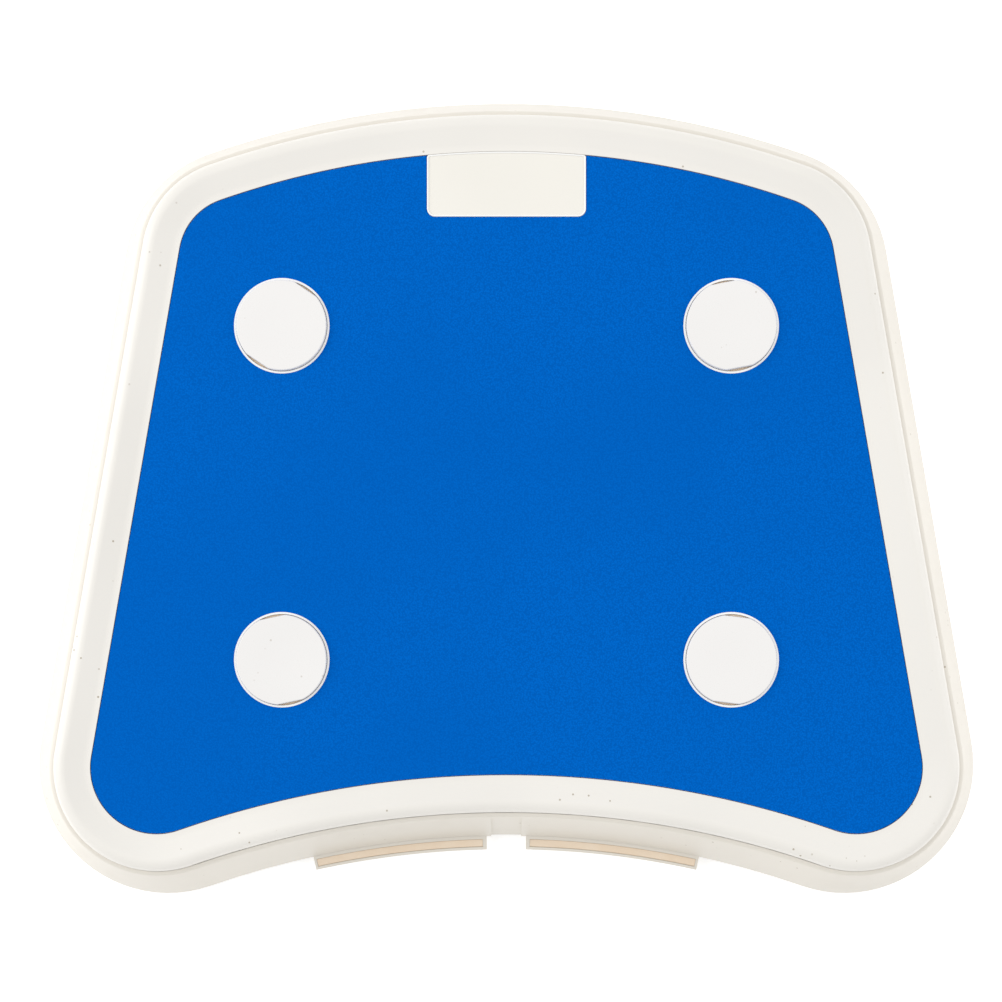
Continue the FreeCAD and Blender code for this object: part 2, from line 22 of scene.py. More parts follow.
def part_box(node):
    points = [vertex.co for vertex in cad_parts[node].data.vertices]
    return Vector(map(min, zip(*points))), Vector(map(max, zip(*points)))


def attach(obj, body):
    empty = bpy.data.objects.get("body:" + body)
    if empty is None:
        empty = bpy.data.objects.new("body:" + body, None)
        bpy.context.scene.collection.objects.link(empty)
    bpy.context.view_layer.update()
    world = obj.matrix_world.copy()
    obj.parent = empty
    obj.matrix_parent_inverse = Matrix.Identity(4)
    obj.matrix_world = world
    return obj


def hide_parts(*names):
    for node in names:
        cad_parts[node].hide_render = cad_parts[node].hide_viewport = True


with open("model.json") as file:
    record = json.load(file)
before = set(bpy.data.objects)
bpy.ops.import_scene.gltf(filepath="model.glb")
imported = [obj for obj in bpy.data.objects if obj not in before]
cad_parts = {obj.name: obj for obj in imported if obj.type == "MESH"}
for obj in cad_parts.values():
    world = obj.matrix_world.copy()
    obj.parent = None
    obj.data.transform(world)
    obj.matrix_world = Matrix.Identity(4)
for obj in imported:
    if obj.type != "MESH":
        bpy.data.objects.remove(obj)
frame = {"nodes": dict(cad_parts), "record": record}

LOG = logging.getLogger("transfer_board")
MM = 0.001
SMOOTH_ANGLE = math.radians(38)
WELD_DISTANCE = 0.0005 * MM
FLATNESS_WEIGHT = 80
MIX_SHARE, MIX_FIRST, MIX_SECOND, MIX_COLOUR = 0, 6, 7, 2
STRAIGHT_TURN = 1e-4
SAME_POINT = 1e-9
SHORTEST_SIDE = 0.01 * MM
LATHE_POINTS = 96
ARC_POINTS = 97
FAR_CORNER_POINTS = 27
NEAR_CORNER_POINTS = 45
NEARWARDS = 1.5 * math.pi
RECESS_SHARES = (0.95, 1.05)
RECESS_POINTS = 5
Array = np.ndarray


class Body(Enum):
    """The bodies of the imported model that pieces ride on."""

    BOARD = "board"
    BACK_LEFT = "back_left_cap"
    BACK_RIGHT = "back_right_cap"
    FRONT_LEFT = "front_left_cap"
    FRONT_RIGHT = "front_right_cap"


class Slot(Enum):
    """The record's material slots."""

    TRAY = "tray_plastic"
    HOUSING = "housing_plastic"
    SURFACE = "non_slip_blue"
    LABEL = "label_plastic"
    CAP = "cap_plastic"
    TAN = "tan_rubber"
    FOOT = "foot_rubber"
    STEEL = "zinc_steel"


CAP_TURNS = {"back_left": 56.0, "back_right": 101.0, "front_left": 102.0, "front_right": 83.0}


# ---- shapes


@dataclass(frozen=True)
class Path:
    """A curve in plan: its points, and at each the outward vector that moves it out by one unit.

    Attributes:
        points: Points of the curve, one row each; closed curves run anticlockwise.
        outward: Outward vectors, lengthened at corners so that an offset keeps its sides parallel.
        closed: Whether the last point joins the first.
    """

    points: Array
    outward: Array
    closed: bool = True

    @classmethod
    def through(cls, points: Array) -> "Path":
        """Closed path through points, its outward vectors worked out from the sides that meet there.

        Args:
            points: Points of the curve, anticlockwise, one row each.

        Returns:
            The path. Outward is the sum of the two side normals, scaled to keep offset sides parallel.
        """
        ahead = np.roll(points, -1, axis=0) - points
        ahead /= np.linalg.norm(ahead, axis=1, keepdims=True)
        normal = np.stack([ahead[:, 1], -ahead[:, 0]], axis=1)
        both = normal + np.roll(normal, 1, axis=0)
        return cls(points, 2 * both / np.sum(both * both, axis=1, keepdims=True))

    @classmethod
    def arc(cls, centre: Sequence[float], radius: float, angle: Array, closed: bool = True) -> "Path":
        """Arc about a centre. One of no size turns a section swept on it as a lathe does.

        Args:
            centre: Centre in plan.
            radius: Radius of the arc; below 0 for a hollow arc, whose spokes point inwards.
            angle: Angle of each spoke, in radians.
            closed: Whether the last point joins the first.

        Returns:
            The path, whose outward vectors are unit spokes.
        """
        spokes = np.stack([np.cos(angle), np.sin(angle)], axis=1)
        return cls(np.asarray(centre, float) + spokes * radius, spokes, closed)

    @classmethod
    def circle(cls, centre: Sequence[float], count: int = LATHE_POINTS) -> "Path":
        """Circle of no size about a centre."""
        return cls.arc(centre, 0.0, np.linspace(0, 2 * math.pi, count, endpoint=False))

    def moved(self, distance: float) -> "Path":
        """The path moved outwards by a distance."""
        return Path(self.points + self.outward * distance, self.outward, self.closed)


def arc_points(degrees: float, step: float) -> int:
    """Number of points that an arc of some degrees needs, at most a step apart."""
    return max(3, int(degrees / step) + 2)


def rounded(*corners: tuple[float, float, float], turn_step: float = 9.0) -> Array:
    """Outline through corners, with each corner rounded by an arc that is tangent to both its sides.

    Args:
        corners: For each corner its two coordinates and its radius. A radius of 0 keeps it sharp.
        turn_step: Most degrees that one short side of an arc turns.

    Returns:
        Points of the closed outline, one row each, in the order of the corners.
    """
    rows = np.array(corners, float)
    places, radii = rows[:, :2], rows[:, 2]
    before = np.roll(places, 1, axis=0) - places
    after = np.roll(places, -1, axis=0) - places
    before /= np.linalg.norm(before, axis=1, keepdims=True)
    after /= np.linalg.norm(after, axis=1, keepdims=True)
    runs = []
    for place, radius, back, ahead in zip(places, radii, before, after):
        opening = math.acos(float(np.clip(back @ ahead, -1, 1)))
        turn = math.pi - opening
        if radius <= 0 or turn < STRAIGHT_TURN:
            runs.append(place[None])
            continue
        middle = (back + ahead) / np.linalg.norm(back + ahead)
        centre = place + middle * radius / math.sin(opening / 2)
        start = place + back * radius / math.tan(opening / 2) - centre
        side = np.sign(ahead[0] * back[1] - ahead[1] * back[0])
        angle = -side * np.linspace(0, turn, arc_points(math.degrees(turn), turn_step))
        cosine, sine = np.cos(angle), np.sin(angle)
        x = start[0] * cosine + start[1] * sine
        y = start[1] * cosine - start[0] * sine
        runs.append(centre + np.stack([x, y], axis=1))
    return np.concatenate(runs)


def bar(across: tuple[float, float], up: tuple[float, float], under: float, over: float) -> Array:
    """Section with four sides.

    Args:
        across: Its inner and its outer side.
        up: Its bottom and its top.
        under: Radius of its two lower corners.
        over: Radius of its two upper corners.

    Returns:
        Points of the section.
    """
    (inner, outer), (low, high) = across, up
    return rounded((inner, low, under), (outer, low, under), (outer, high, over), (inner, high, over))


class Sweep(Enum):
    """How a swept surface is closed: a ring section needs nothing, and an open one ends in two loops."""

    RING = "closed section"
    SOLID = "open section, both loops filled"
    TUBE = "open section, neither loop filled"
    WELL = "open section, only its first loop filled"


def bend(
    centre: Sequence[float], radius: float, start: float, stop: float, step: float = 4.0
) -> list[tuple[float, float, float]]:
    """Arc of a section, as corners that stay sharp.

    Args:
        centre: Centre of the arc.
        radius: Its radius.
        start: First angle in degrees, from outwards towards up.
        stop: Last angle in degrees.
        step: Most degrees between two points.

    Returns:
        Rows of two coordinates and a radius of 0, to go between the corners of an outline.
    """
    angle = np.radians(np.linspace(start, stop, arc_points(abs(stop - start), step)))
    x = centre[0] + radius * np.cos(angle)
    y = centre[1] + radius * np.sin(angle)
    return [(float(a), float(b), 0.0) for a, b in zip(x, y)]


@dataclass
class Shell:
    """A closed surface: vertices, four-sided faces and the many-sided faces that close its ends."""

    vertices: Array
    quads: Array
    ends: list[list[int]]

    @classmethod
    def swept(cls, path: Path, section: Array, kind: Sweep = Sweep.RING) -> "Shell":
        """Section carried along a path.

        The vertex for path point i and section point j is the path point moved outwards by the
        section's first coordinate, at the height of its second.

        Args:
            path: The path in plan.
            section: Section points, anticlockwise when outwards is right and up is up.
            kind: How the surface is closed.

        Returns:
            The shell.
        """
        rows, columns = len(path.points), len(section)
        plan = path.points[:, None] + path.outward[:, None] * section[None, :, :1]
        height = np.broadcast_to(section[None, :, 1:], (rows, columns, 1))
        index = np.arange(rows * columns).reshape(rows, columns)
        round_path = index if not path.closed else np.concatenate([index, index[:1]])
        ring = kind is Sweep.RING
        grid = np.concatenate([round_path, round_path[:, :1]], axis=1) if ring else round_path
        quads = np.stack([grid[:-1, :-1], grid[1:, :-1], grid[1:, 1:], grid[:-1, 1:]], axis=-1)
        ends = []
        if kind in (Sweep.SOLID, Sweep.WELL):
            ends.append(index[::-1, 0].tolist())
        if kind is Sweep.SOLID:
            ends.append(index[:, -1].tolist())
        if not path.closed:
            ends += [index[0].tolist(), index[-1, ::-1].tolist()]
        return cls(np.concatenate([plan, height], axis=2).reshape(-1, 3), quads.reshape(-1, 4), ends)

    @classmethod
    def sheet(cls, loops: Sequence[Array], height: float, upwards: bool) -> "Shell":
        """Flat sheet between an outline and the holes in it.

        Args:
            loops: The outline and then each hole, one row for each point in plan.
            height: Height of the sheet.
            upwards: Whether the sheet faces up.

        Returns:
            The shell. A triangle belongs to it when a line from its middle crosses the loops an odd
            number of times.
        """
        points = np.concatenate(loops)
        first = np.cumsum([0] + [len(loop) for loop in loops])
        edges = [
            (low + k, low + (k + 1) % (high - low))
            for low, high in zip(first[:-1].tolist(), first[1:].tolist())
            for k in range(high - low)
        ]
        found = delaunay_2d_cdt([Vector(point) for point in points.tolist()], edges, [], 0, SAME_POINT)
        source = [origins[0] for origins in found[3]]
        triangles = np.array([[source[corner] for corner in face] for face in found[2]])
        middle = points[triangles].mean(axis=1)[:, None]
        start, stop = points[[a for a, _ in edges]][None], points[[b for _, b in edges]][None]
        spans = (start[..., 1] > middle[..., 1]) != (stop[..., 1] > middle[..., 1])
        rise = np.where(spans, stop[..., 1] - start[..., 1], 1.0)
        share = (middle[..., 1] - start[..., 1]) / rise
        right = start[..., 0] + share * (stop[..., 0] - start[..., 0]) > middle[..., 0]
        kept = triangles[np.count_nonzero(spans & right, axis=1) % 2 == 1]
        faces = kept if upwards else kept[:, ::-1]
        vertices = np.column_stack([points, np.full(len(points), height)])
        return cls(vertices, np.zeros((0, 4), int), faces.tolist())

    def __add__(self, other: "Shell") -> "Shell":
        """Both shells, as one.

        Args:
            other: The shell whose vertices and faces come second.

        Returns:
            The joined shell.
        """
        shift = len(self.vertices)
        ends = self.ends + [[corner + shift for corner in end] for end in other.ends]
        vertices = np.concatenate([self.vertices, other.vertices])
        return Shell(vertices, np.concatenate([self.quads, other.quads + shift]), ends)


def turned(
    centre: Sequence[float], section: Array, kind: Sweep = Sweep.SOLID, count: int = LATHE_POINTS
) -> Shell:
    """Section of radius and height turned about an upright axis."""
    return Shell.swept(Path.circle(centre, count), section, kind)


def weld(mesh: bpy.types.Mesh) -> None:
    """Joins the points of a mesh that lie in one place, so that its surfaces close.

    Args:
        mesh: The mesh, which is changed in place.
    """
    work = bmesh.new()
    work.from_mesh(mesh)
    bmesh.ops.remove_doubles(work, verts=work.verts, dist=WELD_DISTANCE)
    work.to_mesh(mesh)
    work.free()


def finish_piece(
    name: str,
    shell: Shell,
    finish: "Finish",
    nodes: Sequence[str],
    body: Body = Body.BOARD,
) -> None:
    """Makes a shell into a piece of the board and reports it.

    Args:
        name: Name of the piece.
        shell: Its surface.
        finish: Its material and slot.
        nodes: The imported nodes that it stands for.
        body: The body that it rides on.
    """
    mesh = bpy.data.meshes.new(name)
    mesh.from_pydata(shell.vertices.tolist(), [], shell.quads.tolist() + shell.ends)
    mesh.validate()
    weld(mesh)
    mesh.materials.append(finish.material)
    piece = bpy.data.objects.new(name, mesh)
    bpy.context.scene.collection.objects.link(piece)
    mesh.shade_smooth()
    mesh.set_sharp_from_angle(angle=SMOOTH_ANGLE)
    even = piece.modifiers.new("even_shading", "WEIGHTED_NORMAL")
    even.keep_sharp = True
    even.weight = FLATNESS_WEIGHT
    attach(piece, body.value)
    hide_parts(*nodes)
    LOG.info("%s: %d vertices, on %s", name, len(mesh.vertices), body.value)


# ---- materials


class Value:
    """One socket of a material's nodes, which can be used in sums."""

    def __init__(self, shade: "Shade", socket: bpy.types.NodeSocket) -> None:
        """Wraps a socket.

        Args:
            shade: The material that the socket belongs to.
            socket: The socket.
        """
        self.shade = shade
        self.socket = socket

    def __add__(self, other: "Value | float") -> "Value":
        """Sum."""
        return self.shade.maths("ADD", self, other)

    def __rsub__(self, other: float) -> "Value":
        """Difference, with a number first."""
        return self.shade.maths("SUBTRACT", other, self)

    def __mul__(self, other: "Value | float") -> "Value":
        """Product."""
        return self.shade.maths("MULTIPLY", self, other)

    __radd__, __rmul__ = __add__, __mul__

    def between(self, low: float, high: float) -> "Value":
        """How far the value is from low to high, eased and kept within 0 and 1.

        Args:
            low: Value that gives 0.
            high: Value that gives 1.

        Returns:
            The eased share.
        """
        node = self.shade.node(
            "ShaderNodeMapRange",
            {"interpolation_type": "SMOOTHSTEP"},
            {"Value": self, "From Min": low, "From Max": high},
        )
        return Value(self.shade, node.outputs["Result"])


class Shade:
    """A material made of nodes, with Object coordinates as its only place to read from."""

    def __init__(self, name: str) -> None:
        """Starts a material with one principled shader.

        Args:
            name: Name of the material.
        """
        self.material = bpy.data.materials.new(name)
        self.material.use_nodes = True
        self.tree = self.material.node_tree
        self.tree.nodes.clear()
        self.shader = self.node("ShaderNodeBsdfPrincipled")
        output = self.node("ShaderNodeOutputMaterial")
        self.tree.links.new(self.shader.outputs["BSDF"], output.inputs["Surface"])
        place = self.node("ShaderNodeTexCoord")
        self.place = Value(self, place.outputs["Object"])

    def node(
        self, kind: str, settings: dict[str, Any] | None = None, inputs: dict[Any, Any] | None = None
    ) -> bpy.types.Node:
        """Adds a node.

        Args:
            kind: Type of the node.
            settings: Properties of the node, set first.
            inputs: Values or links for its sockets, by name or number.

        Returns:
            The node.
        """
        node = self.tree.nodes.new(kind)
        for name, setting in (settings or {}).items():
            setattr(node, name, setting)
        for name, given in (inputs or {}).items():
            self.feed(node.inputs[name], given)
        return node

    def feed(self, socket: bpy.types.NodeSocket, given: Any) -> None:
        """Links a value to a socket, or sets a number or a colour on it.

        Args:
            socket: The socket.
            given: The value, number or colour.
        """
        if isinstance(given, Value):
            self.tree.links.new(given.socket, socket)
        else:
            socket.default_value = given

    def maths(self, operation: str, first: Any, second: Any) -> Value:
        """Value of a sum of two values or numbers."""
        node = self.node("ShaderNodeMath", {"operation": operation}, {0: first, 1: second})
        return Value(self, node.outputs[0])

    def stretched(self, scale: Sequence[float]) -> Value:
        """Object coordinates multiplied by a scale for each axis."""
        node = self.node("ShaderNodeMapping", None, {"Vector": self.place, "Scale": scale})
        return Value(self, node.outputs[0])

    def noise(
        self, scale: float, detail: float = 3.0, rough: float = 0.5, place: Value | None = None
    ) -> Value:
        """Cloudy pattern.

        Args:
            scale: Number of clouds to a metre.
            detail: Number of finer layers.
            rough: Strength of the finer layers.
            place: Coordinates to read, or None for the object's own.

        Returns:
            The pattern, from 0 to 1 and mostly near a half.
        """
        inputs = {"Vector": place or self.place, "Scale": scale, "Detail": detail, "Roughness": rough}
        return Value(self, self.node("ShaderNodeTexNoise", None, inputs).outputs["Fac"])

    def clouds(self, clouds: "Clouds", place: Value | None = None) -> Value:
        """Cloudy pattern, spread over the whole of 0 to 1."""
        noise = self.noise(clouds.scale, clouds.detail, clouds.rough, place)
        return noise.between(clouds.low, clouds.high)

    def cells(self, scale: float) -> Value:
        """Distance to the middle of irregular cells."""
        node = self.node("ShaderNodeTexVoronoi", None, {"Vector": self.place, "Scale": scale})
        return Value(self, node.outputs["Distance"])

    def mixed(self, share: Value | float, first: Any, second: Any) -> Value:
        """Colour between two colours.

        Args:
            share: How much of the second colour there is.
            first: First colour, a value or four numbers.
            second: Second colour, a value or four numbers.

        Returns:
            The mixed colour.
        """
        inputs = {MIX_SHARE: share, MIX_FIRST: first, MIX_SECOND: second}
        node = self.node("ShaderNodeMix", {"data_type": "RGBA"}, inputs)
        return Value(self, node.outputs[MIX_COLOUR])

    def relief(self, height: Value, depth: float) -> None:
        """Raises the surface by a height pattern.

        Args:
            height: The pattern, from 0 to 1.
            depth: Height of the relief that a whole 1 makes.
        """
        inputs = {"Height": height, "Distance": depth, "Strength": 1.0}
        bump = self.node("ShaderNodeBump", None, inputs)
        self.tree.links.new(bump.outputs["Normal"], self.shader.inputs["Normal"])

    def set(self, **inputs: Any) -> None:
        """Sets sockets of the shader; a name's underscores stand for spaces."""
        for name, given in inputs.items():
            self.feed(self.shader.inputs[name.replace("_", " ")], given)


Colour = tuple[float, float, float]


class Clouds(NamedTuple):
    """Settings of a cloudy pattern, and the two of its values that become 0 and 1."""

    scale: float
    detail: float
    rough: float
    low: float
    high: float


def opaque(colour: Colour, gain: float = 1.0) -> tuple[float, float, float, float]:
    """A colour, made lighter or darker by a gain, with full cover."""
    return (colour[0] * gain, colour[1] * gain, colour[2] * gain, 1.0)


@dataclass(frozen=True)
class MouldedPlastic:
    """Satin injection-moulded plastic: faint colour drift, a fine spark grain and a few dark specks."""

    name: str
    colour: Colour
    roughness: float = 0.36
    drift: float = 0.035
    grain_scale: float = 2600.0
    grain_depth: float = 0.012 * MM
    drifts: Clouds = Clouds(7.0, 2.0, 0.5, 0.35, 0.65)
    scuffs: Clouds = Clouds(38.0, 6.0, 0.62, 0.52, 0.75)
    scuff_stretch: tuple[float, float, float] = (1.0, 2.4, 1.0)
    speck_groups: Clouds = Clouds(29.0, 1.0, 0.5, 0.57, 0.64)
    speck_scale: float = 150.0
    speck_sizes: tuple[float, float] = (0.12, 0.08)
    speck_share: float = 0.75
    speck_colour: Colour = (0.35, 0.29, 0.2)
    scuff_roughness: float = 0.12
    grain_roughness: float = 0.05
    index: float = 1.48

    def material(self) -> bpy.types.Material:
        """Builds the material.

        Returns:
            The material.
        """
        shade = Shade(self.name)
        drift = shade.clouds(self.drifts)
        base = shade.mixed(drift, opaque(self.colour, 1 - self.drift), opaque(self.colour))
        speck = shade.cells(self.speck_scale).between(*self.speck_sizes) * shade.clouds(self.speck_groups)
        tinted = shade.mixed(speck * self.speck_share, base, opaque(self.speck_colour))
        scuff = shade.clouds(self.scuffs, shade.stretched(self.scuff_stretch))
        grain = shade.noise(self.grain_scale, self.drifts.detail)
        rough = self.roughness + self.scuff_roughness * scuff + self.grain_roughness * grain
        shade.set(Base_Color=tinted, Roughness=rough, IOR=self.index)
        shade.relief(grain, self.grain_depth)
        return shade.material


@dataclass(frozen=True)
class NonSlipSheet:
    """Blue non-slip sheet: a pebbled matt skin whose hollows are darker than its crowns."""

    name: str
    crown: Colour
    hollow: Colour
    pebble_scale: float = 950.0
    pebble_share: float = 0.6
    mottle_scale: float = 522.5
    mottle_rough: float = 0.6
    hollows: tuple[float, float] = (0.34, 0.72)
    wear: Clouds = Clouds(6.0, 3.0, 0.5, 0.35, 0.65)
    wear_gain: float = 0.05
    depth: float = 0.12 * MM
    roughness: float = 0.62
    crown_polish: float = 0.08
    worn_roughness: float = 0.1
    index: float = 1.45
    specular: float = 0.01

    def material(self) -> bpy.types.Material:
        """Builds the material.

        Returns:
            The material.
        """
        shade = Shade(self.name)
        pebble = shade.cells(self.pebble_scale)
        mottle = shade.noise(self.mottle_scale, rough=self.mottle_rough)
        height = (1 - pebble) * self.pebble_share + mottle * (1 - self.pebble_share)
        share = height.between(*self.hollows)
        cloud = shade.clouds(self.wear)
        dull, fresh = 1 - self.wear_gain, 1 + self.wear_gain
        worn = shade.mixed(cloud, opaque(self.crown, dull), opaque(self.crown, fresh))
        shade.set(
            Base_Color=shade.mixed(share, opaque(self.hollow), worn),
            Roughness=self.roughness - self.crown_polish * share + self.worn_roughness * cloud,
            IOR=self.index,
            Specular_IOR_Level=self.specular,
        )
        shade.relief(height, self.depth)
        return shade.material


@dataclass(frozen=True)
class Elastomer:
    """Matt rubber with a dusty bloom and a fine open grain."""

    name: str
    colour: Colour
    bloom: Colour
    bloom_clouds: Clouds = Clouds(45.0, 5.0, 0.6, 0.4, 0.75)
    bloom_share: float = 0.45
    grain_scale: float = 3800.0
    grain_rough: float = 0.6
    grain_tones: tuple[float, float] = (0.3, 0.7)
    grain_share: float = 0.5
    grain_gains: tuple[float, float] = (0.9, 1.08)
    grain_depth: float = 0.02 * MM
    roughness: float = 0.72
    bloom_roughness: float = 0.12
    index: float = 1.5

    def material(self) -> bpy.types.Material:
        """Builds the material.

        Returns:
            The material.
        """
        shade = Shade(self.name)
        dust = shade.clouds(self.bloom_clouds)
        grain = shade.noise(self.grain_scale, rough=self.grain_rough)
        share = grain.between(*self.grain_tones) * self.grain_share
        tone = shade.mixed(share, *(opaque(self.colour, gain) for gain in self.grain_gains))
        shade.set(
            Base_Color=shade.mixed(dust * self.bloom_share, tone, opaque(self.bloom)),
            Roughness=self.roughness + self.bloom_roughness * dust,
            IOR=self.index,
        )
        shade.relief(grain, self.grain_depth)
        return shade.material


@dataclass(frozen=True)
class ZincPlate:
    """Zinc-plated steel: bright, with blotched passivation and fine turning marks."""

    name: str
    colour: Colour
    tint: Colour
    blotches: Clouds = Clouds(140.0, 4.0, 0.6, 0.38, 0.68)
    blotch_share: float = 0.55
    mark_scale: float = 900.0
    mark_detail: float = 2.0
    mark_stretch: tuple[float, float, float] = (0.25, 0.25, 6.0)
    mark_depth: float = 0.015 * MM
    roughness: float = 0.26
    blotch_roughness: float = 0.22
    mark_roughness: float = 0.08

    def material(self) -> bpy.types.Material:
        """Builds the material.

        Returns:
            The material.
        """
        shade = Shade(self.name)
        blotch = shade.clouds(self.blotches)
        marks = shade.noise(self.mark_scale, self.mark_detail, place=shade.stretched(self.mark_stretch))
        rough = self.roughness + self.blotch_roughness * blotch + self.mark_roughness * marks
        shade.set(
            Base_Color=shade.mixed(blotch * self.blotch_share, opaque(self.colour), opaque(self.tint)),
            Metallic=1.0,
            Roughness=rough,
        )
        shade.relief(marks, self.mark_depth)
        return shade.material


CREAM: Colour = (0.85, 0.825, 0.775)
# Painted shade: the tray's cream darkened and warmed, because the flared skirt is the same plastic seen in
# shade
SHADED_CREAM: Colour = (0.78, 0.738, 0.662)
WHITE: Colour = (0.865, 0.85, 0.835)
# Painted highlight: the label and tray plastic made whiter for edges and rings that catch the light
HIGHLIGHT_WHITE: Colour = (0.96, 0.955, 0.94)
LABEL_WHITE: Colour = (0.86, 0.835, 0.77)
DECK_BLUE: Colour = (0.0, 0.132, 0.575)
DECK_BLUE_DEEP: Colour = (0.0, 0.106, 0.475)
TAN: Colour = (0.88, 0.72, 0.55)
TAN_PALE: Colour = (0.90, 0.79, 0.66)
BLACK_RUBBER: Colour = (0.035, 0.035, 0.038)
BLACK_BLOOM: Colour = (0.11, 0.105, 0.1)
ZINC: Colour = (0.63, 0.64, 0.62)
ZINC_TINT: Colour = (0.60, 0.56, 0.44)
PLAIN_WHITE: Colour = (1.0, 1.0, 1.0)


class Finish(NamedTuple):
    """A material, and the record's slot that it stands for."""

    slot: Slot
    material: bpy.types.Material


def made(slot: Slot, kind: type, *colours: Colour, **settings: float) -> Finish:
    """Finish of one slot, made of a kind of material."""
    return Finish(slot, kind(slot.value, *colours, **settings).material())


class Finishes:
    """Every finish of the board, made once."""

    def __init__(self) -> None:
        """Builds the materials."""
        self.tray = made(Slot.TRAY, MouldedPlastic, CREAM)
        # The housing takes the darker cream, painted shade on the skirt's faces
        self.housing = made(Slot.HOUSING, MouldedPlastic, SHADED_CREAM)
        self.cap = made(Slot.CAP, MouldedPlastic, WHITE, roughness=0.42, speck_share=0.35)
        self.label = made(Slot.LABEL, MouldedPlastic, LABEL_WHITE, roughness=0.46, speck_share=0.0)
        # A whiter copy of the label and tray plastic, a painted highlight, for the label's raised border and
        # the trim rings on the cap collars
        border = MouldedPlastic("label_border", HIGHLIGHT_WHITE, roughness=0.3, speck_share=0.0).material()
        self.trim, self.border = Finish(Slot.TRAY, border), Finish(Slot.LABEL, border)
        self.surface = made(Slot.SURFACE, NonSlipSheet, DECK_BLUE, DECK_BLUE_DEEP)
        self.tan = made(Slot.TAN, Elastomer, TAN, TAN_PALE)
        self.foot = made(Slot.FOOT, Elastomer, BLACK_RUBBER, BLACK_BLOOM)
        self.steel = made(Slot.STEEL, ZincPlate, ZINC, ZINC_TINT)
        plain = (self.tray, self.housing, self.cap, self.label, self.surface, self.tan, self.foot, self.steel)
        self.for_slot = {finish.slot.value: finish.material for finish in plain}


def dress_packed_nodes(finishes: Finishes) -> None:
    """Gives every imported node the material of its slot.

    Args:
        finishes: The board's materials.
    """
    slots = {part["node"]: part["material_slot"] for part in frame["record"]["subparts"]}
    for name, node in frame["nodes"].items():
        node.data.materials.clear()
        node.data.materials.append(finishes.for_slot[slots[name]])


# ---- the board's plan


